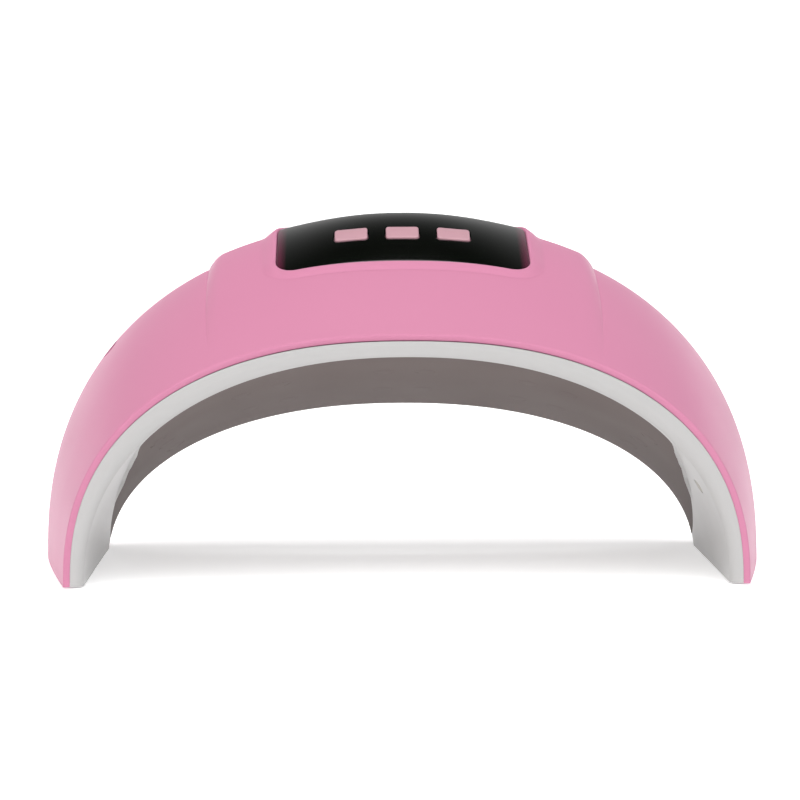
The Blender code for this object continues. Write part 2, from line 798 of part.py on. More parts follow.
def feet():
    white = material("white_foot_plate", WHITE, 0.4)
    rubber = material("grey_rubber", (0.12, 0.12, 0.12), 0.8)
    steel = material("screw_steel", (0.6, 0.6, 0.6), 0.35, 1.0)
    head = 2.0 * MM
    profile = [
        (0, 10.4 * MM), (0.8 * MM, 10.4 * MM), (1.2 * MM, 9.5 * MM), (1.2 * MM, 2.3 * MM),
        (head, 2.3 * MM), (head, 1.2 * MM), (0, 1.2 * MM),
    ]
    for side, name in ((-1, "left"), (1, "right")):
        plate = flat_outline(
            f"foot_plate_{name}",
            foot_outline(side, PLATE_START, PLATE_END, GAP, GAP + 0.1 * MM),
            PLATE_BOTTOM, PLATE_TOP, white,
        )
        flat_outline(
            f"foot_strip_{name}",
            foot_outline(side, 9 * MM, 76 * MM, 0.8 * MM, 1.2 * MM), 0, PLATE_BOTTOM - GAP, rubber,
        )
        for depth, where in zip(SCREW_DEPTHS, ("front", "rear")):
            centre = at(side * boss_x(depth), depth, 0)
            recess = rod("screw_recess", head + GAP, 0, 2.0 * MM + GAP + GAP, None, 14, CUTTERS)
            recess.location = centre
            boolean(plate, recess)
            hole = rod("plate_hole", 1.5 * MM, 0, 6 * MM, None, 10, CUTTERS)
            hole.location = centre
            boolean(plate, hole)
            screw = turned(f"foot_screw_{name}_{where}", profile, steel, 12)
            screw.location = centre


# ---------------------------------------------------------------- leads

def leads():
    red = material("red_lead", (0.5, 0.02, 0.02), 0.45)
    black = material("black_lead", (0.02, 0.02, 0.02), 0.45)
    jack_frame, jack = jack_place()
    frame, centre = button_frame()
    turn = jack_frame.to_3x3()
    level = -BOARD_DROP - BOARD_THICK - 1.2 * MM
    for mat, name, shift in ((red, "power_lead_red", -1), (black, "power_lead_black", 1)):
        start = jack + turn @ Vector((0, shift * 1.6 * MM, JACK_TAIL - GAP))
        out = jack + turn @ Vector((0, shift * 1.6 * MM, JACK_TAIL - 5 * MM))
        end = centre + frame.to_3x3() @ Vector((-25 * MM, 12 * MM + shift * 2 * MM, level))
        middle = (out + end) / 2 + Vector((0, 0, -3 * MM))
        drop = end + Vector((-5 * MM, 0, -2 * MM))
        wire(name, [start, out, middle, drop, end], 0.6 * MM, mat)
    places = board_places()
    lift = LED_BOARD_OFFSET + LED_BOARD_THICK + 1.2 * MM
    edge = LED_BOARD_HALF[0] - 3 * MM
    for index, (one, two) in enumerate(zip(places, places[1:]), 1):
        start = one[1] + one[0].to_3x3() @ Vector((edge, 0, lift))
        end = two[1] + two[0].to_3x3() @ Vector((-edge, 0, lift))
        middle = (start + end) / 2 + (one[0].col[2] + two[0].col[2]).to_3d().normalized() * 3 * MM
        wire(f"led_lead_{index}", [start, middle, end], 0.6 * MM, red)


outer_shell()
inner_frame()
reflector()
uv_boards()
collar()
display_window()
buttons()
control_board()
power_inlet()
hand_sensor()
feet()
leads()
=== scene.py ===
"""Looks of the arch-shaped UV LED nail lamp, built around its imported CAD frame.

Metres, +Z up, the same frame as the CAD: X across the arch, -Y the front, the ground at Z = 0.
A "depth" is measured backwards from the front rim. The visible skins are fine meshes made from
the same arches as the CAD solids, and everything hidden keeps its CAD mesh with a new finish.
"""

import math

import bmesh
import bpy
import numpy as np
from mathutils import Euler, Matrix, Vector


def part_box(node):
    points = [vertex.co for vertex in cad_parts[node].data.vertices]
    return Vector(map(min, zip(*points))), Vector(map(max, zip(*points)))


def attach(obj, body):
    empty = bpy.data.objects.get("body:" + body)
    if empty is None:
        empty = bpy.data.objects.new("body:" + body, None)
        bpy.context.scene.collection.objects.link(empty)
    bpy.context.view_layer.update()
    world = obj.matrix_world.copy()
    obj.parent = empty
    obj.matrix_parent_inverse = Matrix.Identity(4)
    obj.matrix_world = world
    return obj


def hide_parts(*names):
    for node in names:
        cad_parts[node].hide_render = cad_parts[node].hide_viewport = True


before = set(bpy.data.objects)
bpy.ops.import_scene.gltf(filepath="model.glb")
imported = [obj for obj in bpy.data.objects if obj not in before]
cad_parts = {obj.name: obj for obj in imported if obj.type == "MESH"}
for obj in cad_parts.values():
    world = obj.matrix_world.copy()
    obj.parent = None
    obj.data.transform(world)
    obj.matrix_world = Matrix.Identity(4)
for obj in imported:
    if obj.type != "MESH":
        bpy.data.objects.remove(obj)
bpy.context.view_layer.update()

MM = 0.001
MICRON = 0.000001

# ---------------------------------------------------------------- camera, light and stage

LENS = 123.0
SENSOR = 36.0
CAMERA_PLACE = (-0.0148, -0.7385, 0.1022)
CAMERA_PITCH = -4.442                 # degrees; below the horizon
CAMERA_YAW = -1.073                   # degrees; towards the right
CAMERA_ROLL = -0.198                  # degrees
FLOOR_REACH = 3.0                     # half width of the floor
SWEEP_START = 1.5                     # where the floor begins to rise behind the lamp
SWEEP_BEND = 0.5                      # radius of that rise
SWEEP_STEPS = 16
FLOOR_COLOUR = (0.93, 0.93, 0.93)
FLOOR_GLOW = 0.44                     # the floor is a light table, lit a little from below
HORIZON_LIGHT = 0.72                  # strength of the studio's white walls
CEILING_LIGHT = 0.03                  # strength of its dim ceiling
WALL_TOP = 0.5                        # sine of the elevation where the walls begin to dim
CEILING_EDGE = 0.77                   # sine of the elevation where the ceiling begins
SIDE_FLAGS = 0.25                     # share of the walls' light that grey flags at the sides pass
FLAG_REACH = (0.45, 0.95)             # front-to-back part of a direction where the flags end
LAMP_MIDDLE = (0, 0, 0.05)
WARM_WHITE = (1.0, 0.90, 0.82)
COOL_WHITE = (0.84, 0.94, 1.0)


def make_camera():
    """A long lens low in front of the lamp."""
    data = bpy.data.cameras.new("camera")
    data.lens = LENS
    data.sensor_width = SENSOR
    data.clip_start = 0.05
    data.clip_end = 30
    camera = bpy.data.objects.new("camera", data)
    bpy.context.scene.collection.objects.link(camera)
    turn = Euler((math.radians(90 + CAMERA_PITCH), 0, math.radians(CAMERA_YAW))).to_matrix()
    roll = Matrix.Rotation(math.radians(CAMERA_ROLL), 3, "Z")
    camera.matrix_world = Matrix.Translation(CAMERA_PLACE) @ (turn @ roll).to_4x4()
    bpy.context.scene.camera = camera


def make_light(name, place, target, size, power, colour=(1, 1, 1)):
    """A rectangular softbox at a place, turned to its target."""
    data = bpy.data.lights.new(name, "AREA")
    data.shape = "RECTANGLE"
    data.size, data.size_y = size
    data.energy = power
    data.color = colour
    light = bpy.data.objects.new(name, data)
    bpy.context.scene.collection.objects.link(light)
    light.location = place
    aim = Vector(target) - Vector(place)
    light.rotation_euler = aim.to_track_quat("-Z", "Y").to_euler()


def make_stage():
    """A pale floor that sweeps up into a backdrop behind the lamp."""
    profile = [(-FLOOR_REACH, 0.0), (SWEEP_START, 0.0)]
    for k in range(1, SWEEP_STEPS + 1):
        turn = math.pi / 2 * k / SWEEP_STEPS
        profile.append((SWEEP_START + SWEEP_BEND * math.sin(turn), SWEEP_BEND * (1 - math.cos(turn))))
    verts = [(x, y, z) for y, z in profile for x in (-FLOOR_REACH, FLOOR_REACH)]
    faces = [(2 * k, 2 * k + 1, 2 * k + 3, 2 * k + 2) for k in range(len(profile) - 1)]
    mesh = bpy.data.meshes.new("pale_sweep")
    mesh.from_pydata(verts, [], faces)
    mesh.shade_smooth()
    sweep = bpy.data.objects.new("pale_sweep", mesh)
    bpy.context.scene.collection.objects.link(sweep)
    mat = bpy.data.materials.new("pale_sweep")
    mat.use_nodes = True
    shader = mat.node_tree.nodes["Principled BSDF"]
    shader.inputs["Base Color"].default_value = (*FLOOR_COLOUR, 1)
    shader.inputs["Roughness"].default_value = 0.9
    shader.inputs["Specular IOR Level"].default_value = 0.1
    shader.inputs["Emission Color"].default_value = (1, 1, 1, 1)
    shader.inputs["Emission Strength"].default_value = FLOOR_GLOW
    mesh.materials.append(mat)


def make_world():
    """A white studio: bright in front and behind, flagged at the sides, dim towards the ceiling."""
    world = bpy.data.worlds.new("studio")
    world.use_nodes = True
    nodes = world.node_tree.nodes
    links = world.node_tree.links
    direction = nodes.new("ShaderNodeTexCoord")
    split = nodes.new("ShaderNodeSeparateXYZ")
    links.new(direction.outputs["Generated"], split.inputs["Vector"])

    def ramp(value, start, end, low, high):
        node = nodes.new("ShaderNodeMapRange")
        node.interpolation_type = "SMOOTHSTEP"
        node.inputs["From Min"].default_value = start
        node.inputs["From Max"].default_value = end
        node.inputs["To Min"].default_value = low
        node.inputs["To Max"].default_value = high
        links.new(value, node.inputs["Value"])
        return node.outputs["Result"]

    def maths(operation, *values):
        node = nodes.new("ShaderNodeMath")
        node.operation = operation
        for socket, value in zip(node.inputs, values):
            links.new(value, socket)
        return node.outputs["Value"]

    walls = ramp(split.outputs["Z"], WALL_TOP, CEILING_EDGE, HORIZON_LIGHT, CEILING_LIGHT)
    flags = ramp(maths("ABSOLUTE", split.outputs["Y"]), *FLAG_REACH, SIDE_FLAGS, 1.0)
    background = nodes["Background"]
    background.inputs["Color"].default_value = (1, 1, 1, 1)
    links.new(maths("MULTIPLY", walls, flags), background.inputs["Strength"])
    bpy.context.scene.world = world
    bpy.context.scene.view_settings.view_transform = "Standard"


make_camera()
make_world()
make_stage()
make_light("top_softbox", (0, -0.5, 1.6), (0, -0.1, 0), (2.4, 1.4), 33)
make_light("front_softbox", (0, -1.6, 1.1), LAMP_MIDDLE, (2.2, 1.2), 10)
make_light("left_softbox", (-1.5, -0.5, 0.5), LAMP_MIDDLE, (1.0, 1.0), 2.5, WARM_WHITE)
make_light("right_softbox", (1.5, -0.5, 0.5), LAMP_MIDDLE, (1.0, 1.0), 1.2, COOL_WHITE)
make_light("backdrop_light", (0, 0.7, 1.2), (0, 1.9, 0.1), (2.4, 0.8), 14)

# ---------------------------------------------------------------- arches shared with the CAD

shell_low, shell_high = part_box("outer_shell")
FRONT_Y = shell_low.y
DEPTH = shell_high.y - shell_low.y
SOLE = shell_low.z
WALL = 1.7 * MM
CREST = 68 * MM                       # depth of the shell's highest section
BACK_RUN = DEPTH - CREST
BACK_SQUARENESS = 2.5                 # exponent of the rounded end behind the crest
FRONT_SLOPE_POWER = 1.25
# Arches: half width, height, exponent, height of the springing line
RIM_ARCH = np.array((88.2 * MM, 64.8 * MM, 2.33, SOLE))
CREST_ARCH = np.array((shell_high.x, 90.2 * MM, 2.26, SOLE))
BACK_ARCH = np.array((87.0 * MM, 45.5 * MM, 2.1, SOLE))
TUNNEL_FRONT = np.array((83.1 * MM, 59.7 * MM, 2.2, SOLE))
THROAT = 75 * MM                      # depth of the tunnel's lowest section
TUNNEL_THROAT = np.array((83.2 * MM, 41.5 * MM, 2.19, -3.9 * MM))
TUNNEL_MOUTH = np.array((85.9 * MM, 44.4 * MM, 2.15, -3.9 * MM))
FRAME_WALL = 1.0 * MM
FRAME_ROUND = (2.9 * MM, 3.0 * MM)    # width and depth of the rim's rounding into the tunnel
FRAME_TIP = 0.4 * MM                  # radius of the inner wall's free edge
FLANGE_DEPTH = 0.3 * MM               # how far the white rim lies behind the pink one
FLANGE_EDGE = 0.08 * MM               # the small round on its outer edge
FLANGE_LAP = 0.03 * MM                # the white rim closes this far into the shell's inner face
PANEL_TOP = 38.0 * MM                 # height of the side panels' edge at the front rim
PANEL_FALL = 0.46                     # how steeply that edge falls towards the back
PANEL_BLEND = 5.0 * MM                # how softly it turns into the short wall above
FRAME_RETURN = 3.4 * MM               # depth of that wall
BEAD_WIDTH = 1.8 * MM
BEAD_RISE = 0.8 * MM
BEAD_FOOT = 12 * MM                   # the bead fades out between this height and twice it
BEAD_FADE = 5 * MM                    # and where the wall is from one to two times this deep
REFLECTOR_WALL = 1.0 * MM
REFLECTOR_STEP = 1.5 * MM             # how far the reflector lies outside the frame at the front
REFLECTOR_START = 2.4 * MM
REFLECTOR_END = DEPTH - 0.4 * MM
REFLECTOR_CLEAR = 0.45 * MM           # from the side panels' edge to the reflector's own
REFLECTOR_LEAN = 0.5 * MM             # added to it at the front
REFLECTOR_FOOT = SOLE + 1 * MM

# The raised block across the crown, and the collar on it
BLOCK_RIM_HALF = 50.0 * MM
BLOCK_CREST_HALF = 53.6 * MM
BLOCK_EDGE_POWER = 2.4
BLOCK_FADE_POWER = 1.2
BLOCK_ROLL = 4.2 * MM                 # width of the rounded shoulder
BLOCK_RISE = 2.6 * MM
BLOCK_STEEPNESS = 0.9
GROOVE_DEPTH = 0.1 * MM
GROOVE_WIDTH = 0.3 * MM
COLLAR_HALF = 38.2 * MM
COLLAR_FRONT = 33.3 * MM
COLLAR_BACK = 75.6 * MM
COLLAR_CORNER = (9.5 * MM, 13.5 * MM)
COLLAR_INNER_CORNER = (5.8 * MM, 7.5 * MM)
COLLAR_WIDTH = 3.8 * MM
COLLAR_RISE = (0.85 * MM, 1.9 * MM)   # over the crown, at the collar's front and at the crest
COLLAR_SKIRT = 1.6 * MM
COLLAR_LEDGE = 1.8 * MM
COLLAR_DROP = 3.6 * MM
COLLAR_FLARE = 1.5 * MM               # how much wider the outer slope is at the sides of the crest
FLARE_START = 12 * MM                 # the flare begins this far inside the collar's half width
FLARE_RUN = 8 * MM                    # and is full after this much more
COLLAR_MIDDLE = (COLLAR_FRONT + COLLAR_BACK) / 2
WINDOW_SHEET = 1.6 * MM
WINDOW_ROUND = 0.2 * MM
WINDOW_RISE = (0.35 * MM, 1.45 * MM)  # over the crown, at the collar's front and at the crest
WINDOW_CROWN = 1.05 * MM              # the window's own bulge at the crest
WINDOW_LIP_REFLECTION = (31.6 * MM, 33.4 * MM)  # painted dark reflection of the pink lip: where it begins and where it is full, out from the window's middle
GAP = 0.3 * MM
SEAM = 0.12 * MM                      # how closely the visible edges meet

BUTTONS = (("left", -14 * MM), ("middle", 0.0), ("right", 14 * MM))
BUTTON_DEPTH = 52.2 * MM
BUTTON_HALF = (4.5 * MM, 3.55 * MM)
BUTTON_SHIFT = 0.8 * MM               # how far the caps sit behind their stems
BUTTON_CORNER = 0.9 * MM
BUTTON_EDGE = 0.45 * MM
BUTTON_PROUD = 0.5 * MM
BUTTON_FLANGE = 0.9 * MM              # thickness of the flange that keeps a button in ...
BUTTON_LID = 1.0 * MM                 # ... and how far it reaches out under the window
# The cap's crown: distance in from its edge, rise over it
BUTTON_CROWN = ((1.2 * MM, 0.04 * MM), (2.0 * MM, 0.07 * MM), (2.9 * MM, 0.09 * MM))
STEM_RADIUS = 1.6 * MM
BOARD_DROP = 12 * MM                  # from the window's face to the control board
SWITCH_TOP = 5.1 * MM                 # where the stem ends over the board

ARCH_BOARDS = (40, 65, 90, 115, 140)  # degrees round the arch
LED_BOARD_DEPTH = 41 * MM
SIDE_ROWS = (-9 * MM, 5 * MM, 19 * MM)  # LEDs from a board's middle, on the two end boards
ROWS = (-12 * MM, 13 * MM)            # and on the others
COLUMNS = (-5.5 * MM, 5.5 * MM)
LED_RADIUS = 2.7 * MM
LED_HOLE = 2.74 * MM
LED_DOME = 0.05 * MM
LED_CHIP = 1.3 * MM
JACK_ANGLE = math.radians(142.9)
JACK_DEPTH = 66 * MM
JACK_HOLE = 2.9 * MM
JACK_FLOOR = -10.5 * MM               # heights along the inlet's axis, outwards
JACK_TAIL = -13 * MM
SENSOR_DEPTH = 16.5 * MM
SENSOR_HEIGHT = 23.8 * MM
SENSOR_RADIUS = 2.0 * MM
CUT_REACH = 8 * MM                    # how far a cutter reaches to each side of what it cuts


def mix(low, high, share):
    return low + (high - low) * share


def shell_arch(depth):
    """The pink shell's outer arch, without the block on its crown."""
    if depth <= CREST:
        rise = 1 - (1 - max(depth, 0) / CREST) ** FRONT_SLOPE_POWER
        return mix(RIM_ARCH, CREST_ARCH, rise)
    share = min((depth - CREST) / BACK_RUN, 1)
    fall = (1 - share ** BACK_SQUARENESS) ** (1 / BACK_SQUARENESS)
    return mix(BACK_ARCH, CREST_ARCH, fall)


def frame_arch(depth):
    """The white frame's inner face."""
    return mix(TUNNEL_FRONT, TUNNEL_THROAT, depth / THROAT)


def reflector_arch(depth):
    """The reflector's inner face, which meets the frame's at the throat."""
    if depth <= THROAT:
        start = TUNNEL_FRONT + np.array((REFLECTOR_STEP, REFLECTOR_STEP, 0, 0))
        return mix(start, TUNNEL_THROAT, depth / THROAT)
    return mix(TUNNEL_THROAT, TUNNEL_MOUTH, (depth - THROAT) / (DEPTH - THROAT))


def arch_turn(arch, height):
    """The superellipse's own angle at a height on the right half of an arch."""
    half, top, power, spring = arch
    return math.asin(((height - spring) / (top - spring)) ** (power / 2))


def arch_point(arch, angle):
    """X and Z on an arch, for an angle from 0 at the right foot to pi at the left one."""
    half, top, power, spring = arch
    foot = arch_turn(arch, SOLE)
    turn = foot + (math.pi - 2 * foot) * angle / math.pi
    cosine = math.cos(turn)
    x = math.copysign(abs(cosine) ** (2 / power), cosine) * half
    return x, spring + (top - spring) * max(math.sin(turn), 0) ** (2 / power)


def angle_at_height(arch, height):
    foot = arch_turn(arch, SOLE)
    return (arch_turn(arch, height) - foot) / (math.pi - 2 * foot) * math.pi


def height_at(arch, x):
    half, top, power, spring = arch
    return spring + (top - spring) * (1 - min(abs(x) / half, 1) ** power) ** (1 / power)


def block_fade(depth):
    """How much of the block's height there is: none at the front rim, all at the crest."""
    if depth <= CREST:
        return (max(depth, 0) / CREST) ** BLOCK_FADE_POWER
    return 1 - min((depth - CREST) / BACK_RUN, 1) ** 2


def block_half(depth):
    share = 1 - (1 - min(max(depth, 0) / CREST, 1)) ** BLOCK_EDGE_POWER
    return mix(BLOCK_RIM_HALF, BLOCK_CREST_HALF, share)


def block_height(x, depth):
    share = min(max((block_half(depth) - abs(x)) / BLOCK_ROLL, 0), 1)
    return BLOCK_RISE * block_fade(depth) * (1 - (1 - share) ** 2) ** BLOCK_STEEPNESS


def groove(x, depth):
    """Depth of the fine crease along the block's foot."""
    away = (abs(x) - block_half(depth)) / GROOVE_WIDTH
    return GROOVE_DEPTH * min(3 * block_fade(depth), 1) * math.exp(-away ** 2)


def crown(x, depth):
    """Height of the shell's outer face with its block, but without the crease."""
    return height_at(shell_arch(depth), x) + block_height(x, depth)


def panel_lift(depth):
    """How far a depth lies from the collar's front edge to the crest, from 0 to 1."""
    return min(max((depth - COLLAR_FRONT) / (CREST - COLLAR_FRONT), 0), 1)


def window_height(x, depth):
    lift = panel_lift(depth)
    bulge = (1 - min(abs(x) / (COLLAR_HALF - COLLAR_WIDTH), 1) ** 2) ** 2
    return crown(x, depth) + mix(*WINDOW_RISE, lift) + WINDOW_CROWN * bulge * lift


def at(x, depth, z):
    return Vector((x, FRONT_Y + depth, z))


def at_xz(pair, depth):
    return np.array((pair[0], FRONT_Y + depth, pair[1]))


def surface_frame(arch_of, angle, depth):
    """A frame on an arch surface: X along the arch, Y backwards, Z outwards."""
    step = 0.01

    def point(turn, deep):
        x, z = arch_point(arch_of(deep), turn)
        return at(x, deep, z)

    centre = point(angle, depth)
    along = (point(angle - step, depth) - point(angle + step, depth)).normalized()
    back = (point(angle, depth + MM) - point(angle, depth - MM)).normalized()
    out = along.cross(back).normalized()
    back = out.cross(along)
    turn = Matrix((along, back, out)).transposed().to_4x4()
    return Matrix.Translation(centre) @ turn


# ---------------------------------------------------------------- materials

CLOUD_SCALE = 22.0
PATCH_SCALE = 38.0


class Finish:
    """A node material whose Principled shader takes its looks from noise in object space."""

    def __init__(self, name):
        self.material = bpy.data.materials.new(name)
        self.material.use_nodes = True
        self.nodes = self.material.node_tree.nodes
        self.links = self.material.node_tree.links
        self.shader = self.nodes["Principled BSDF"]
        self.place = self.nodes.new("ShaderNodeTexCoord").outputs["Object"]

    def noise(self, scale, detail=1.0):
        node = self.nodes.new("ShaderNodeTexNoise")
        node.inputs["Scale"].default_value = scale
        node.inputs["Detail"].default_value = detail
        self.links.new(self.place, node.inputs["Vector"])
        return node.outputs["Fac"]

    def span(self, value, low, high, start=0.1, end=0.9):
        """Maps a value that runs from start to end onto the range from low to high."""
        node = self.nodes.new("ShaderNodeMapRange")
        node.inputs["From Min"].default_value = start
        node.inputs["From Max"].default_value = end
        node.inputs["To Min"].default_value = low
        node.inputs["To Max"].default_value = high
        self.links.new(value, node.inputs["Value"])
        return node.outputs["Result"]

    def blend(self, factor, one, two):
        node = self.nodes.new("ShaderNodeMix")
        node.data_type = "RGBA"
        self.links.new(factor, node.inputs["Factor"])
        for socket, colour in ((node.inputs["A"], one), (node.inputs["B"], two)):
            if isinstance(colour, tuple):
                socket.default_value = (*colour, 1)
            else:
                self.links.new(colour, socket)
        return node.outputs["Result"]

    def patches(self, rough):
        """Handled patches: roughness that wanders between two values."""
        return self.span(self.noise(PATCH_SCALE, 1.5), *rough)

    def bump(self, value, distance):
        node = self.nodes.new("ShaderNodeBump")
        node.inputs["Distance"].default_value = distance
        self.links.new(value, node.inputs["Height"])
        self.links.new(node.outputs["Normal"], self.shader.inputs["Normal"])

    def drive(self, socket, value):
        if hasattr(value, "is_linked"):
            self.links.new(value, self.shader.inputs[socket])
        elif isinstance(value, tuple):
            self.shader.inputs[socket].default_value = (*value, 1)
        else:
            self.shader.inputs[socket].default_value = value


def plastic(name, colour, shade, rough, grain, grain_size=900.0, specular=0.5):
    """Moulded plastic: faint cloudiness in the colour, handled patches in the gloss, fine grain."""
    finish = Finish(name)
    cloud = finish.span(finish.noise(CLOUD_SCALE), 0.0, 1.0)
    finish.drive("Base Color", finish.blend(cloud, colour, shade))
    finish.drive("Roughness", finish.patches(rough))
    finish.drive("Specular IOR Level", specular)
    finish.bump(finish.noise(grain_size), grain)
    return finish.material


def smoked_acrylic(name):
    """Black-backed acrylic with a painted dark reflection of the shaded pink lip along its two side
    edges.
    """
    finish = Finish(name)
    split = finish.nodes.new("ShaderNodeSeparateXYZ")
    finish.links.new(finish.place, split.inputs["Vector"])
    away = finish.nodes.new("ShaderNodeMath")
    away.operation = "ABSOLUTE"
    finish.links.new(split.outputs["X"], away.inputs[0])
    painted_lip_reflection = finish.span(away.outputs["Value"], 0.0, 1.0, *WINDOW_LIP_REFLECTION)
    backing = finish.blend(finish.noise(CLOUD_SCALE), (0.0006, 0.0012, 0.0005), (0.0010, 0.0018, 0.0009))
    # painted reflection: dark maroon blended in towards the side edges, by distance from the middle
    finish.drive("Base Color", finish.blend(painted_lip_reflection, backing, (0.075, 0.010, 0.028)))
    finish.drive("Roughness", finish.patches((0.06, 0.11)))
    finish.drive("Specular IOR Level", 0.45)
    finish.bump(finish.noise(600.0), 1 * MICRON)
    return finish.material


def clear_lens(name, depth_colour):
    """A lens whose colour is a painted reflection of the grey tray at a slant, and what lies in it when
    met squarely.
    """
    finish = Finish(name)
    slant = finish.nodes.new("ShaderNodeLayerWeight")
    slant.inputs["Blend"].default_value = 0.5
    mirrored = finish.span(slant.outputs["Facing"], 0.0, 1.0, *LENS_REFLECTION_SLANT)
    # painted reflection: the tray's grey takes the place of the lens colour at a slant
    tray = finish.blend(finish.noise(CLOUD_SCALE), REFLECTOR, REFLECTOR_SHADE)
    finish.drive("Base Color", finish.blend(mirrored, depth_colour, tray))
    finish.drive("Roughness", finish.patches(REFLECTOR_ROUGH))
    finish.drive("Specular IOR Level", REFLECTOR_SPECULAR)
    return finish.material


def metal(name, colour, shade, rough):
    """Plated metal with a slightly uneven gloss."""
    finish = Finish(name)
    finish.drive("Base Color", finish.blend(finish.noise(160.0, 6.0), colour, shade))
    finish.drive("Metallic", 1.0)
    finish.drive("Roughness", finish.span(finish.noise(300.0, 6.0), *rough))
    finish.bump(finish.noise(1200.0, 3.0), 10 * MICRON)
    return finish.material


PINK = (0.562, 0.220, 0.338)
PINK_SHADE = (0.547, 0.211, 0.328)
BUTTON_PINK = (0.475, 0.256, 0.30)
BUTTON_SHADE = (0.46, 0.246, 0.288)
WHITE = (0.445, 0.438, 0.435)
WHITE_SHADE = (0.43, 0.423, 0.42)
REFLECTOR = (0.120, 0.093, 0.087)
REFLECTOR_SHADE = (0.115, 0.089, 0.083)
REFLECTOR_ROUGH = (0.50, 0.60)
REFLECTOR_SPECULAR = 0.08
LENS_REFLECTION_SLANT = (0.30, 0.62)              # slant at which the painted reflection of the tray begins on the lenses, and where it covers them

# name, colour, its shade, roughness, depth of the grain
pink_shell = plastic("pink_shell", PINK, PINK_SHADE, (0.27, 0.33), 2 * MICRON, specular=0.03)
pink_button = plastic("pink_button", BUTTON_PINK, BUTTON_SHADE, (0.35, 0.45), 6 * MICRON)
white_frame = plastic("white_frame", WHITE, WHITE_SHADE, (0.32, 0.42), 4 * MICRON)
white_plate = plastic("white_plate", (0.60, 0.59, 0.58), (0.56, 0.55, 0.54), (0.40, 0.55), 20 * MICRON)
reflector_grey = plastic(
    "reflector_grey", REFLECTOR, REFLECTOR_SHADE, REFLECTOR_ROUGH, 6 * MICRON, specular=REFLECTOR_SPECULAR
)
window_black = smoked_acrylic("window_black")
black_plastic = plastic(
    "black_plastic", (0.012, 0.012, 0.012), (0.02, 0.02, 0.02), (0.40, 0.60), 20 * MICRON
)
rubber = plastic(
    "rubber", (0.05, 0.05, 0.05), (0.07, 0.07, 0.07), (0.75, 0.92), 50 * MICRON, grain_size=500
)
sensor_lens = plastic("sensor_lens", (0.27, 0.24, 0.19), (0.25, 0.22, 0.17), (0.25, 0.35), 3 * MICRON)
# lenses and chips both carry the painted reflection of the tray at a slant
led_lens = clear_lens("led_lens", (0.20, 0.17, 0.18))
led_chip = clear_lens("led_chip", (0.42, 0.38, 0.50))
board_white = plastic("board_white", (0.70, 0.71, 0.69), (0.64, 0.65, 0.63), (0.35, 0.5), 10 * MICRON)
board_green = plastic("board_green", (0.02, 0.14, 0.05), (0.015, 0.10, 0.04), (0.3, 0.45), 20 * MICRON)
lead_red = plastic("lead_red", (0.45, 0.02, 0.02), (0.38, 0.02, 0.02), (0.35, 0.5), 20 * MICRON)
lead_black = plastic("lead_black", (0.02, 0.02, 0.02), (0.03, 0.03, 0.03), (0.35, 0.5), 20 * MICRON)
steel = metal("steel", (0.55, 0.55, 0.54), (0.45, 0.45, 0.44), (0.25, 0.4))
contact = metal("contact", (0.72, 0.66, 0.48), (0.62, 0.56, 0.40), (0.2, 0.3))

# ---------------------------------------------------------------- mesh tools


def add(name, mesh, material):
    obj = bpy.data.objects.new(name, mesh)
    bpy.context.scene.collection.objects.link(obj)
    mesh.materials.append(material)
    return obj


SHARP = 35                            # degrees; a steeper edge is shaded as a corner
SHARP_SKIN = 50                       # the same for the large moulded skins


def loft(name, rings, material, path_closed=False, sharp=SHARP):
    """A closed body through rings of points, capped at its ends unless the path closes."""
    rings = [list(ring) for ring in rings]
    count = len(rings[0])
    verts = [tuple(p) for ring in rings for p in ring]
    faces = []
    steps = len(rings) if path_closed else len(rings) - 1
    for step in range(steps):
        low = step * count
        high = (step + 1) % len(rings) * count
        for k in range(count):
            after = (k + 1) % count
            faces.append((low + k, low + after, high + after, high + k))
    if not path_closed:
        faces.append(tuple(range(count)))
        faces.append(tuple(range(len(verts) - count, len(verts))))
    mesh = bpy.data.meshes.new(name)
    mesh.from_pydata(verts, [], faces)
    bm = bmesh.new()
    bm.from_mesh(mesh)
    bmesh.ops.recalc_face_normals(bm, faces=bm.faces)
    bm.to_mesh(mesh)
    bm.free()
    mesh.shade_smooth()
    mesh.set_sharp_from_angle(angle=math.radians(sharp))
    return add(name, mesh, material)


def cut(obj, tools):
    """Takes the tools out of a piece and leaves it a plain mesh."""
    for tool in tools:
        mod = obj.modifiers.new(tool.name, "BOOLEAN")
        mod.object = tool
        mod.solver = "MANIFOLD"
    depsgraph = bpy.context.evaluated_depsgraph_get()
    mesh = bpy.data.meshes.new_from_object(obj.evaluated_get(depsgraph))
    mesh.set_sharp_from_angle(angle=math.radians(SHARP))
    obj.modifiers.clear()
    obj.data = mesh
    for tool in tools:
        bpy.data.objects.remove(tool)


def turned_rings(profile, place, segments):
    """Rings of a turned body from radius and height pairs, placed by a matrix."""
    rings = []
    for radius, height in profile:
        ring = []
        for k in range(segments):
            turn = math.tau * k / segments
            ring.append(place @ Vector((radius * math.cos(turn), radius * math.sin(turn), height)))
        rings.append(ring)
    return rings


def drill(place, radius, segments=48):
    """A round cutter through the surface at a place."""
    profile = [(radius, -CUT_REACH), (radius, CUT_REACH)]
    return loft("cutter", turned_rings(profile, place, segments), black_plastic)


def rounded_rectangle(half_x, half_y, corner, steps):
    """Points round a rectangle whose corners are quarter circles, or quarter ellipses for a pair."""
    corner_x, corner_y = corner if isinstance(corner, tuple) else (corner, corner)
    points = []
    for quarter in range(4):
        sx = (1, -1, -1, 1)[quarter]
        sy = (1, 1, -1, -1)[quarter]
        for k in range(steps + 1):
            turn = math.pi / 2 * (quarter + k / steps)
            points.append((
                sx * (half_x - corner_x) + corner_x * math.cos(turn),
                sy * (half_y - corner_y) + corner_y * math.sin(turn),
            ))
    return points


def present(obj, body, slot, *nodes):
    """Rides a piece on its body's empty and hides the CAD nodes it stands for; the slot is not used."""
    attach(obj, body)
    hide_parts(*nodes)


# ---------------------------------------------------------------- outer shell

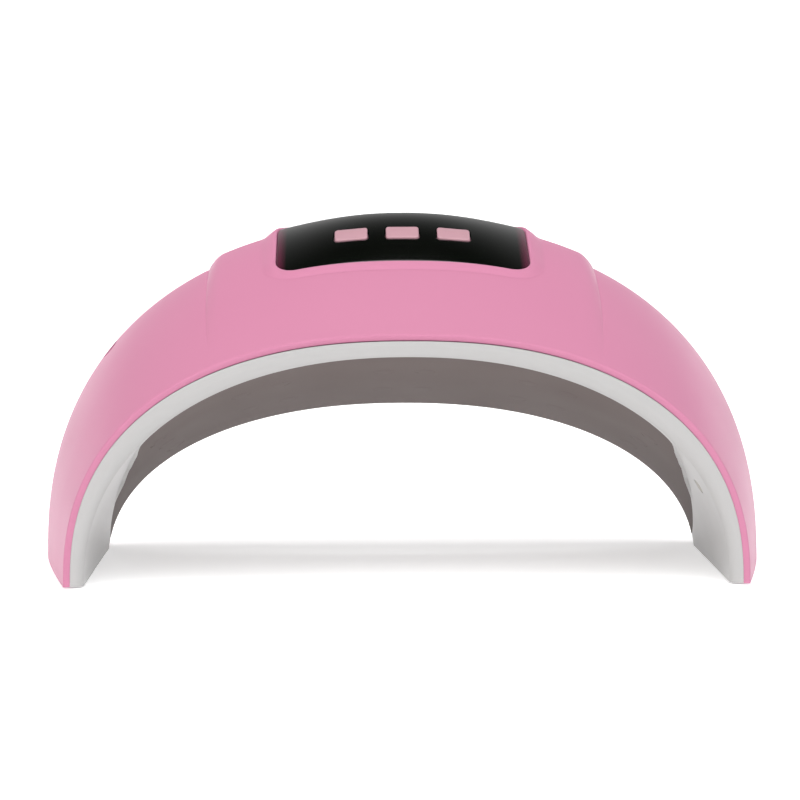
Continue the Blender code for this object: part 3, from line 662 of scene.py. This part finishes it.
SIDE_COLUMNS = 64
GROOVE_COLUMNS = 14
ROLL_COLUMNS = 14
BLOCK_COLUMNS = 28
HALF_COLUMNS = SIDE_COLUMNS + GROOVE_COLUMNS + ROLL_COLUMNS + BLOCK_COLUMNS
FRONT_STATIONS = 70
FRONT_CROWDING = 1.3                  # over 1, the stations lie closer together near the crest
BACK_STATIONS = 44
BACK_TURN = math.radians(89.0)        # how far round the back's rounding the shell goes
RIM_ROUND = 0.55 * MM
INNER_ROUND = 0.06 * MM
OPENING_HEIGHTS = (0.07, 0.11)        # the cutter for the opening under the window


def shell_column(column, arch, depth, with_block):
    """X and Z of one column of the shell; columns run from the right foot to the left one."""
    mirrored = column > HALF_COLUMNS
    if mirrored:
        column = 2 * HALF_COLUMNS - column
    block = block_half(depth)
    start = block + 3 * GROOVE_WIDTH
    if column <= SIDE_COLUMNS:
        edge = angle_at_height(arch, height_at(arch, start))
        x, z = arch_point(arch, edge * column / SIDE_COLUMNS)
    else:
        column -= SIDE_COLUMNS
        stops = (start, block - 3 * GROOVE_WIDTH, block - BLOCK_ROLL, 0.0)
        for count, high, low in zip((GROOVE_COLUMNS, ROLL_COLUMNS, BLOCK_COLUMNS), stops, stops[1:]):
            if column <= count:
                x = mix(high, low, column / count)
                break
            column -= count
        z = height_at(arch, x)
    if with_block:
        z += block_height(x, depth) - groove(x, depth)
    return (-x if mirrored else x), z


def shell_stations():
    """Depth and arch pairs from just behind the front rim to the end of the back wall."""
    stations = []
    for k in range(FRONT_STATIONS + 1):
        depth = RIM_ROUND + (CREST - RIM_ROUND) * (1 - (1 - k / FRONT_STATIONS) ** FRONT_CROWDING)
        stations.append((depth, shell_arch(depth)))
    for k in range(1, BACK_STATIONS + 1):
        turn = BACK_TURN * k / BACK_STATIONS
        fall = math.cos(turn) ** (2 / BACK_SQUARENESS)
        depth = CREST + BACK_RUN * math.sin(turn) ** (2 / BACK_SQUARENESS)
        stations.append((depth, mix(BACK_ARCH, CREST_ARCH, fall)))
    return stations


def edge_round(outer, inner, along, steps=6):
    """Points round a free edge of the shell, from its outer face to its inner one."""
    across = inner - outer
    wall = np.linalg.norm(across)
    across = across / wall
    points = []
    for radius, sweep in ((RIM_ROUND, (0, math.pi / 2)), (INNER_ROUND, (math.pi / 2, math.pi))):
        centre = radius if sweep[0] == 0 else wall - radius
        for turn in np.linspace(*sweep, steps + 1):
            points.append(outer + across * (centre - radius * math.cos(turn))
                          + along * (radius * math.sin(turn) + RIM_ROUND - radius))
    return points


def make_shell():
    """The pink casing: a skin of even thickness with rounded free edges."""
    stations = shell_stations()
    columns = 2 * HALF_COLUMNS + 1
    base = np.empty((columns, len(stations), 3))
    outer = np.empty_like(base)
    for number, (depth, arch) in enumerate(stations):
        for column in range(columns):
            base[column, number] = at_xz(shell_column(column, arch, depth, False), depth)
            outer[column, number] = at_xz(shell_column(column, arch, depth, True), depth)
    along = np.gradient(base, axis=1)
    normal = np.cross(along, np.gradient(base, axis=0))
    normal /= np.linalg.norm(normal, axis=2, keepdims=True)
    along /= np.linalg.norm(along, axis=2, keepdims=True)
    inner = outer - WALL * normal
    rings = []
    for face, lining, run in zip(outer, inner, along):
        ring = list(face[1:-1])
        ring += edge_round(face[-1], lining[-1], run[-1])
        ring += list(lining[1:-1][::-1])
        ring += edge_round(face[0], lining[0], -run[0])[::-1]
        rings.append(ring)
    shell = loft("shell_skin", rings, pink_shell, sharp=SHARP_SKIN)
    jack = surface_frame(shell_arch, JACK_ANGLE, JACK_DEPTH)
    outline = collar_outline(COLLAR_SKIRT - GAP)
    opening = [[at(x, depth, z) for x, depth in outline] for z in OPENING_HEIGHTS]
    cut(shell, [drill(jack, JACK_HOLE), loft("opening", opening, pink_shell)])
    present(shell, "root", "outer_shell", "outer_shell")


# ---------------------------------------------------------------- collar and window

def collar_outline(inset, spacing=0.9 * MM, corner_steps=14):
    """Plan points, as X and depth, of the collar at a distance inside its outer edge."""
    half_y = (COLLAR_BACK - COLLAR_FRONT) / 2
    share = inset / COLLAR_WIDTH
    corner = tuple(
        max(mix(a, b, share), 2 * MM) for a, b in zip(COLLAR_CORNER, COLLAR_INNER_CORNER)
    )
    corners = rounded_rectangle(COLLAR_HALF, half_y, COLLAR_CORNER, corner_steps)
    moved = rounded_rectangle(COLLAR_HALF - inset, half_y - inset, corner, corner_steps)
    points = []
    for k, (x, y) in enumerate(corners):
        nx, ny = corners[(k + 1) % len(corners)]
        pieces = max(1, round(math.hypot(nx - x, ny - y) / spacing))
        ax, ay = moved[k]
        bx, by = moved[(k + 1) % len(moved)]
        for part in range(pieces):
            points.append((mix(ax, bx, part / pieces), COLLAR_MIDDLE + mix(ay, by, part / pieces)))
    return points


LIP = (
    # part of the width in from the outer edge, part of the lip's height
    (0.0, 0.04), (0.06, 0.06), (0.12, 0.12), (0.2, 0.25), (0.3, 0.45), (0.4, 0.64), (0.5, 0.79),
    (0.6, 0.90), (0.7, 0.97), (0.78, 1.0), (0.85, 0.98), (0.91, 0.91), (0.96, 0.78), (0.99, 0.6),
)


def side_share(x):
    """How fully a point belongs to one of the collar's two sides, from 0 to 1."""
    share = min(max((abs(x) - COLLAR_HALF + FLARE_START) / FLARE_RUN, 0), 1)
    return share ** 2 * (3 - 2 * share)


def make_collar():
    """The raised trim round the window; its ledge carries the window from below."""
    rings = []

    def ring(inset, lip_part, window_part, height):
        points = []
        outwards = max(1 - 2 * inset / COLLAR_WIDTH, 0)
        for x, depth in collar_outline(inset):
            lift = panel_lift(depth)
            x += math.copysign(COLLAR_FLARE * lift * side_share(x) * outwards, x)
            rise = lip_part * mix(*COLLAR_RISE, lift) + window_part * mix(*WINDOW_RISE, lift)
            points.append(at(x, depth, crown(x, depth) + rise + height))
        rings.append(points)

    for across, part in LIP:
        ring(across * COLLAR_WIDTH, part, 0, 0)
    ring(COLLAR_WIDTH, 0.4, 0.2, 0)
    ledge = -WINDOW_SHEET - GAP
    ring(COLLAR_WIDTH, 0, 1, ledge)
    ring(COLLAR_WIDTH + COLLAR_LEDGE, 0, 1, ledge)
    ring(COLLAR_WIDTH + COLLAR_LEDGE, 0, 0, -COLLAR_DROP)
    ring(COLLAR_SKIRT, 0, 0, -COLLAR_DROP)
    ring(COLLAR_SKIRT, 0, 0, 0.02 * MM)
    collar = loft("collar_skin", rings, pink_shell, path_closed=True, sharp=SHARP_SKIN)
    present(collar, "root", "panel_collar", "panel_collar")


def button_frame():
    """The frame of the three buttons: X across, Y up the window, Z out of it."""
    run = 4 * MM
    low = at(0, BUTTON_DEPTH - run, window_height(0, BUTTON_DEPTH - run))
    high = at(0, BUTTON_DEPTH + run, window_height(0, BUTTON_DEPTH + run))
    up = (high - low).normalized()
    across = Vector((1, 0, 0))
    out = across.cross(up)
    centre = at(0, BUTTON_DEPTH, window_height(0, BUTTON_DEPTH))
    return Matrix.Translation(centre) @ Matrix((across, up, out)).transposed().to_4x4()


BUTTON_PLACE = button_frame()


def window_level(u, v):
    """Height of the window's face over the button frame's plane at its plan position."""
    level = 0.0
    for _ in range(6):
        spot = BUTTON_PLACE @ Vector((u, v, level))
        level += (window_height(spot.x, spot.y - FRONT_Y) - spot.z) * BUTTON_PLACE[2][2]
    return level


def window_ring(outline, drop=0.0, share=1.0):
    """A plan outline, shrunk towards the window's middle and dropped onto its curved face."""
    spots = [(x * share, COLLAR_MIDDLE + (d - COLLAR_MIDDLE) * share) for x, d in outline]
    return [at(x, d, window_height(x, d) + drop) for x, d in spots]


def make_window():
    """The smoked sheet, with a fine rounding at its edge and a hole for each button."""
    inset = COLLAR_WIDTH + SEAM
    bottom = collar_outline(inset)
    top = collar_outline(inset + WINDOW_ROUND)
    rings = [window_ring(bottom, -WINDOW_SHEET, share) for share in (0.03, 0.25, 0.5, 0.75, 1.0)]
    for turn in np.linspace(0, math.pi / 2, 6):
        outline = collar_outline(inset + WINDOW_ROUND * (1 - math.cos(turn)))
        rings.append(window_ring(outline, WINDOW_ROUND * (math.sin(turn) - 1)))
    rings += [window_ring(top, 0.0, share) for share in np.linspace(0.97, 0.03, 30)]
    window = loft("window_skin", rings, window_black)
    opening = rounded_rectangle(BUTTON_HALF[0] + GAP, BUTTON_HALF[1] + GAP, BUTTON_CORNER + GAP, 8)
    holes = []
    for name, x in BUTTONS:
        rings = [[BUTTON_PLACE @ Vector((x + u, v + BUTTON_SHIFT, height)) for u, v in opening]
                 for height in (-CUT_REACH, CUT_REACH)]
        holes.append(loft("button_hole_" + name, rings, window_black))
    cut(window, holes)
    present(window, "root", "display_window", "display_window")


def make_button(name, x):
    """A stem on the switch, a flange under the window and a crowned cap through it."""
    steps = 8
    count = 4 * (steps + 1)
    under = -WINDOW_SHEET - GAP
    flat = under - BUTTON_FLANGE - 1.5 * MM

    def ring(grow, level, follow=1.0):
        corner = max(BUTTON_CORNER + grow, 0.3 * MM)
        outline = rounded_rectangle(BUTTON_HALF[0] + grow, BUTTON_HALF[1] + grow, corner, steps)
        spots = [(x + u, v + BUTTON_SHIFT) for u, v in outline]
        return [BUTTON_PLACE @ Vector((u, v, level + follow * window_level(u, v))) for u, v in spots]

    def stem(level):
        turns = [math.tau * (k + 0.5) / count for k in range(count)]
        spots = [(x + STEM_RADIUS * math.cos(turn), STEM_RADIUS * math.sin(turn)) for turn in turns]
        return [BUTTON_PLACE @ Vector((u, v, level)) for u, v in spots]

    rings = [stem(-BOARD_DROP + SWITCH_TOP), stem(flat)]
    rings += [ring(BUTTON_LID, flat, 0.0), ring(BUTTON_LID, under - GAP), ring(0, under - GAP)]
    for turn in np.linspace(0, math.pi / 2, 7):
        shrink = BUTTON_EDGE * (1 - math.cos(turn))
        rings.append(ring(-shrink, BUTTON_PROUD - BUTTON_EDGE * (1 - math.sin(turn))))
    for shrink, rise in BUTTON_CROWN:
        rings.append(ring(-shrink, BUTTON_PROUD + rise))
    button = loft("button_cap_" + name, rings, pink_button)
    present(button, "button_" + name, "button", "button_" + name)


# ---------------------------------------------------------------- white frame and reflector

ARCH_STEPS = 240


def frame_end(angle):
    """Depth at which the white frame's inner wall ends: deep at the side panels, short above."""
    depth = 0.0
    for _ in range(20):
        z = arch_point(frame_arch(min(max(depth, 0), THROAT)), angle)[1]
        depth = (PANEL_TOP - z) / PANEL_FALL
    reach = depth - FRAME_RETURN
    soft = (reach + math.hypot(reach, PANEL_BLEND)) / 2
    return min(FRAME_RETURN + soft, THROAT)


def flange_edge(angle):
    """X and Z of the white rim's outer edge, which closes against the shell's inner face."""
    step = 0.001
    here = np.array(arch_point(RIM_ARCH, angle))
    run = np.array(arch_point(RIM_ARCH, angle + step)) - np.array(arch_point(RIM_ARCH, angle - step))
    run /= np.linalg.norm(run)
    return here + (WALL - FLANGE_LAP) * np.array((-run[1], run[0]))


def bead(depth, end, z):
    """How far the raised bead along a side panel's edge stands into the tunnel."""
    share = min(max((end - depth) / BEAD_WIDTH, 0), 1)
    above_foot = min(max(z / BEAD_FOOT - 1, 0), 1)
    behind_rim = min(max(end / BEAD_FADE - 1, 0), 1)
    return BEAD_RISE * above_foot * behind_rim * math.sin(math.pi * share) ** 2


def frame_ring(angle):
    """Points round the white frame's section at one place of the arch."""
    end = frame_end(angle)
    rim_out = flange_edge(angle)
    rim_in = np.array(arch_point(TUNNEL_FRONT, angle))
    across = rim_out - rim_in
    across /= np.linalg.norm(across)
    front = FLANGE_DEPTH
    back = front + FRAME_WALL
    radius, run = FRAME_ROUND

    def wall(depth, off):
        """A point off the tunnel's own surface, towards the shell."""
        return at_xz(np.array(arch_point(frame_arch(depth), angle)) + off * across, depth)

    points = [at_xz(rim_out, back), at_xz(rim_out, front + FLANGE_EDGE)]
    points += [at_xz(rim_out - 0.375 * FLANGE_EDGE * across, front + 0.25 * FLANGE_EDGE)]
    points += [at_xz(rim_out - FLANGE_EDGE * across, front)]
    points += [at_xz(mix(rim_out, rim_in + radius * across, k / 3), front) for k in (1, 2)]
    for turn in np.linspace(0, math.pi / 2, 13):
        points.append(wall(front + run * (1 - math.cos(turn)), radius * (1 - math.sin(turn))))
    for k in range(1, 31):
        depth = mix(front + run, end - FRAME_TIP, k / 30)
        height = arch_point(frame_arch(depth), angle)[1]
        points.append(wall(depth, -bead(depth, end - FRAME_TIP, height)))
    for turn in np.linspace(0, math.pi / 2, 6)[1:]:
        points.append(wall(end - FRAME_TIP * (1 - math.sin(turn)), FRAME_TIP * (1 - math.cos(turn))))
    points += [wall(mix(end, back, k / 12), FRAME_WALL) for k in range(13)]
    return points


def make_frame():
    """The white rim and side panels, one moulding."""
    rings = [frame_ring(math.pi * step / ARCH_STEPS) for step in range(ARCH_STEPS + 1)]
    white = loft("frame_skin", rings, white_frame, sharp=SHARP_SKIN)
    cut(white, [drill(sensor_place(), SENSOR_RADIUS + SEAM)])
    present(white, "root", "inner_frame", "inner_frame")


def sensor_place():
    angle = angle_at_height(frame_arch(SENSOR_DEPTH), SENSOR_HEIGHT)
    return surface_frame(frame_arch, angle, SENSOR_DEPTH)


def make_sensor():
    """The tinted window of the hand sensor, flush in the right side panel."""
    profile = [(0.02 * MM, 5 * MM), (SENSOR_RADIUS, 5 * MM), (SENSOR_RADIUS, 0.15 * MM)]
    profile += [(SENSOR_RADIUS - 0.12 * MM, 0.04 * MM), (SENSOR_RADIUS - 0.3 * MM, 0.0)]
    profile += [(0.8 * MM, -0.03 * MM), (0.02 * MM, -0.04 * MM)]
    window = loft("sensor_window", turned_rings(profile, sensor_place(), 48), sensor_lens)
    present(window, "root", "sensor_lens", "hand_sensor")


def make_reflector():
    """The grey tray over the tunnel, with a hole for each LED."""
    front_depths = np.linspace(REFLECTOR_START, THROAT, 60)
    depths = np.concatenate((front_depths, np.linspace(THROAT, REFLECTOR_END, 10)[1:]))
    rings = [[] for _ in range(ARCH_STEPS + 1)]
    outwards = np.array((REFLECTOR_WALL, REFLECTOR_WALL, 0, 0))
    for depth in depths:
        arch = reflector_arch(depth)
        panel = PANEL_TOP - PANEL_FALL * depth
        foot = max(panel + REFLECTOR_CLEAR + REFLECTOR_LEAN * panel / PANEL_TOP, REFLECTOR_FOOT)
        low = angle_at_height(arch, foot)
        for step, ring in enumerate(rings):
            angle = mix(low, math.pi - low, step / ARCH_STEPS)
            ring.append([at_xz(arch_point(side, angle), depth) for side in (arch, arch + outwards)])
    rings = [[pair[0] for pair in ring] + [pair[1] for pair in ring[::-1]] for ring in rings]
    tray = loft("reflector_skin", rings, reflector_grey, sharp=SHARP_SKIN)
    cut(tray, [drill(place, LED_HOLE, 32) for place in led_places()])
    present(tray, "root", "reflector", "reflector")


def led_places():
    """Three LEDs in a row on the side boards and two by two on the others, flush with the tray."""
    found = []
    for index, degrees in enumerate(ARCH_BOARDS):
        angle = math.radians(180 - degrees)
        board = surface_frame(reflector_arch, angle, LED_BOARD_DEPTH)
        if index in (0, len(ARCH_BOARDS) - 1):
            spots = [(0.0, v) for v in SIDE_ROWS]
        else:
            spots = [(u, v) for v in ROWS for u in COLUMNS]
        found += [settle(board @ Vector((u, v, 0)), angle) for u, v in spots]
    return found


def settle(spot, angle):
    """The frame on the reflector's surface nearest to a spot close to it."""
    depth = LED_BOARD_DEPTH
    step = 0.01
    for _ in range(6):
        place = surface_frame(reflector_arch, angle, depth)
        off = place.inverted() @ spot
        arch = reflector_arch(depth)
        run = np.array(arch_point(arch, angle - step)) - np.array(arch_point(arch, angle + step))
        angle -= off.x * 2 * step / np.linalg.norm(run)
        depth += off.y
    return place


def make_leds():
    """Round LEDs with a nearly flat lens, whose middle shows the chip; Z runs away from the tunnel."""
    base = 3.3 * MM
    flange = LED_RADIUS + 0.25 * MM
    profile = [(flange, base), (flange, base - 0.8 * MM)]
    profile += [(LED_RADIUS, base - 1.0 * MM), (LED_RADIUS, 0.0)]
    for turn in np.radians(np.linspace(0, 88, 9)[1:]):
        profile.append((LED_RADIUS * math.cos(turn), -LED_DOME * math.sin(turn)))
    for number, place in enumerate(led_places(), 1):
        led = loft(f"led_{number:02d}", turned_rings(profile, place, 40), led_lens)
        led.data.materials.append(led_chip)
        for face in led.data.polygons:
            spot = place.inverted() @ face.center
            if spot.z < 0 and math.hypot(spot.x, spot.y) < LED_CHIP:
                face.material_index = 1
        present(led, "root", "uv_led", f"uv_led_{number:02d}")


# ---------------------------------------------------------------- inlet

def make_jack():
    """The adapter's inlet in the left shoulder, and its centre contact."""
    place = surface_frame(shell_arch, JACK_ANGLE, JACK_DEPTH)
    edge = 0.25 * MM
    lip = 4.2 * MM
    bore = 2.6 * MM
    mouth = -WALL - 0.9 * MM
    profile = [(0.2 * MM, JACK_FLOOR), (bore, JACK_FLOOR), (bore, mouth - 0.5 * MM)]
    profile += [(bore + 0.5 * MM, mouth), (lip - edge, mouth), (lip, mouth - edge)]
    profile += [(lip, JACK_TAIL), (0.2 * MM, JACK_TAIL)]
    jack = loft("jack_body", turned_rings(profile, place, 48), black_plastic)
    present(jack, "root", "jack_plastic", "dc_jack")
    tip = mouth - 1.5 * MM
    root = JACK_FLOOR + 0.3 * MM
    pin_profile = [(1.05 * MM, root), (1.05 * MM, tip - 0.5 * MM)]
    pin_profile += [(0.9 * MM, tip - 0.2 * MM), (0.55 * MM, tip)]
    pin = loft("jack_contact", turned_rings(pin_profile, place, 32), contact)
    present(pin, "root", "jack_pin", "dc_jack_pin")


# ---------------------------------------------------------------- carried-over CAD nodes

FINISHES = {
    "foot_plate": white_plate,
    "foot_strip": rubber,
    "foot_screw": steel,
    "led_board": board_white,
    "led_lead": lead_red,
    "power_lead_red": lead_red,
    "power_lead_black": lead_black,
    "control_board": board_green,
    "tact_switch": black_plastic,
    "switch_plunger": steel,
    "digit_display": black_plastic,
    "timer_chip": black_plastic,
    "driver_inductor": black_plastic,
    "filter_capacitor": steel,
}
ROUNDED = ("foot_plate", "foot_strip")
FOOT_EDGE = 0.15 * MM


def dress_cad_nodes():
    """Gives the CAD nodes that keep their own mesh a finish, and the feet softer edges."""
    for name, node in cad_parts.items():
        for start, material in FINISHES.items():
            if name.startswith(start):
                node.data.materials.clear()
                node.data.materials.append(material)
        if name.startswith(ROUNDED):
            bevel = node.modifiers.new("soft_edges", "BEVEL")
            bevel.width = FOOT_EDGE
            bevel.segments = 2
            bevel.limit_method = "ANGLE"


make_shell()
make_collar()
make_window()
for button_name, button_x in BUTTONS:
    make_button(button_name, button_x)
make_frame()
make_sensor()
make_reflector()
make_leds()
make_jack()
dress_cad_nodes()
